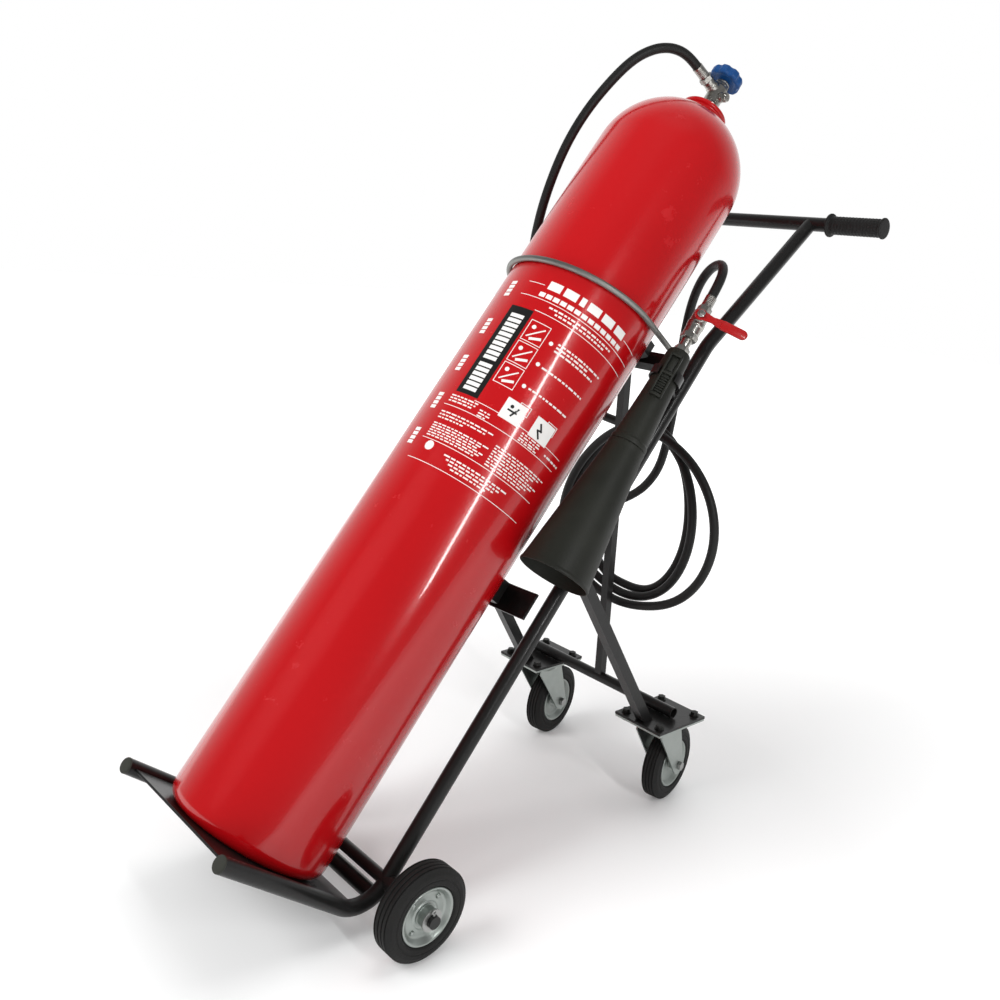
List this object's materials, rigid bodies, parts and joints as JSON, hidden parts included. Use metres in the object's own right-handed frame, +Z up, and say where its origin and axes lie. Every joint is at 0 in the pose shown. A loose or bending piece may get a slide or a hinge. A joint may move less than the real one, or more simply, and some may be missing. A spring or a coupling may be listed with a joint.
{
  "type": "wheeled fire extinguisher",
  "caption": "Wheeled carbon dioxide extinguisher: a leaning gas cylinder on a tube trolley with fixed wheels, swivel casters, a coiled discharge hose, a ball valve and a horn.",
  "frame": {"origin": "on the floor, at the centre of the bounding box in X and Y", "axes": "+Z up, +X along the wheel axle towards the horn, +Y from the foot plate towards the handle"},
  "size_m": [0.5974, 1.1912, 1.3991],
  "materials": {
    "black_frame": "satin",
    "end_caps": "matte",
    "grip_rubber": "matte",
    "zinc_fasteners": "zinc plated",
    "galvanised_rod": "galvanised",
    "red_cylinder": "gloss",
    "dip_tube_alloy": "plain",
    "nickel_valve": "nickel plated",
    "seat_plastic": "plain",
    "hose_rubber": "satin",
    "horn_plastic": "satin",
    "blue_handwheel": "satin",
    "red_lever": "dipped",
    "zinc_sheet": "zinc plated",
    "wheel_rubber": "matte"
  },
  "bodies": {
    "trolley": {"side_tube_right": "black_frame", "side_tube_left": "black_frame", "handle_tube_right": "black_frame", "handle_tube_left": "black_frame", "handle_bar": "black_frame", "foot_plate": "black_frame", "foot_cross_tube": "black_frame", "lower_saddle": "black_frame", "upper_crossbar": "black_frame", "leg_right": "black_frame", "leg_left": "black_frame", "centre_strut": "black_frame", "rear_cross_tube": "black_frame", "caster_mount_plates": "black_frame", "axle": "black_frame", "hose_hook": "black_frame", "horn_holder": "black_frame", "prong_caps": "end_caps", "grip_right": "grip_rubber", "grip_left": "grip_rubber", "caster_bolts": "zinc_fasteners", "axle_washers": "zinc_fasteners", "split_pins": "zinc_fasteners", "u_bolt_nuts": "zinc_fasteners", "u_bolt": "galvanised_rod", "cylinder_shell": "red_cylinder", "neck_ring": "red_cylinder", "dip_tube": "dip_tube_alloy", "valve_body": "nickel_valve", "burst_disc_plug": "nickel_valve", "valve_ferrule": "nickel_valve", "horn_ferrule": "nickel_valve", "ball_valve_body": "nickel_valve", "horn_nipple": "nickel_valve", "ball_seats": "seat_plastic", "hose_feed": "hose_rubber", "hose_coil": "hose_rubber", "hose_tail": "hose_rubber", "horn_upper": "horn_plastic", "horn_lower": "horn_plastic", "caster_top_plates": "zinc_sheet"},
    "handwheel": {"valve_spindle": "nickel_valve", "handwheel": "blue_handwheel", "handwheel_nut": "zinc_fasteners"},
    "lever": {"valve_ball": "nickel_valve", "valve_stem": "nickel_valve", "lever": "red_lever", "lever_nut": "zinc_fasteners"},
    "main_wheel_right": {"wheel_tyre_right": "wheel_rubber", "wheel_rim_right": "zinc_sheet"},
    "main_wheel_left": {"wheel_tyre_left": "wheel_rubber", "wheel_rim_left": "zinc_sheet"},
    "caster_swivel_right": {"caster_fork_right": "zinc_sheet", "caster_axle_right": "zinc_fasteners"},
    "caster_swivel_left": {"caster_fork_left": "zinc_sheet", "caster_axle_left": "zinc_fasteners"},
    "caster_wheel_right": {"caster_tyre_right": "wheel_rubber", "caster_rim_right": "zinc_sheet"},
    "caster_wheel_left": {"caster_tyre_left": "wheel_rubber", "caster_rim_left": "zinc_sheet"}
  },
  "joints": [
    {"name": "handwheel_turn", "type": "hinge", "parent": "trolley", "child": "handwheel", "pos_m": [0, 0.4567, 1.35831], "axis": [0, 0.6004, 0.7997], "range_deg": [0, 720]},
    {"name": "lever_turn", "type": "hinge", "parent": "trolley", "child": "lever", "pos_m": [0.18058, 0.23958, 0.94884], "axis": [0.6014, -0.626, 0.4963], "range_deg": [0, 90]},
    {"name": "main_wheel_right_roll", "type": "hinge", "parent": "trolley", "child": "main_wheel_right", "pos_m": [0.2395, -0.30789, 0.075], "axis": [1, 0, 0], "continuous": true},
    {"name": "caster_right_swivel", "type": "hinge", "parent": "trolley", "child": "caster_swivel_right", "pos_m": [0.1623, 0.3173, 0.172], "axis": [0, 0, 1], "continuous": true},
    {"name": "caster_right_roll", "type": "hinge", "parent": "caster_swivel_right", "child": "caster_wheel_right", "pos_m": [0.15223, 0.37442, 0.075], "axis": [0.9848, 0.1736, 0], "continuous": true},
    {"name": "main_wheel_left_roll", "type": "hinge", "parent": "trolley", "child": "main_wheel_left", "pos_m": [-0.2395, -0.30789, 0.075], "axis": [1, 0, 0], "continuous": true},
    {"name": "caster_left_swivel", "type": "hinge", "parent": "trolley", "child": "caster_swivel_left", "pos_m": [-0.1623, 0.3173, 0.172], "axis": [0, 0, 1], "continuous": true},
    {"name": "caster_left_roll", "type": "hinge", "parent": "caster_swivel_left", "child": "caster_wheel_left", "pos_m": [-0.17237, 0.37442, 0.075], "axis": [0.9848, 0.1736, 0], "continuous": true}
  ]
}
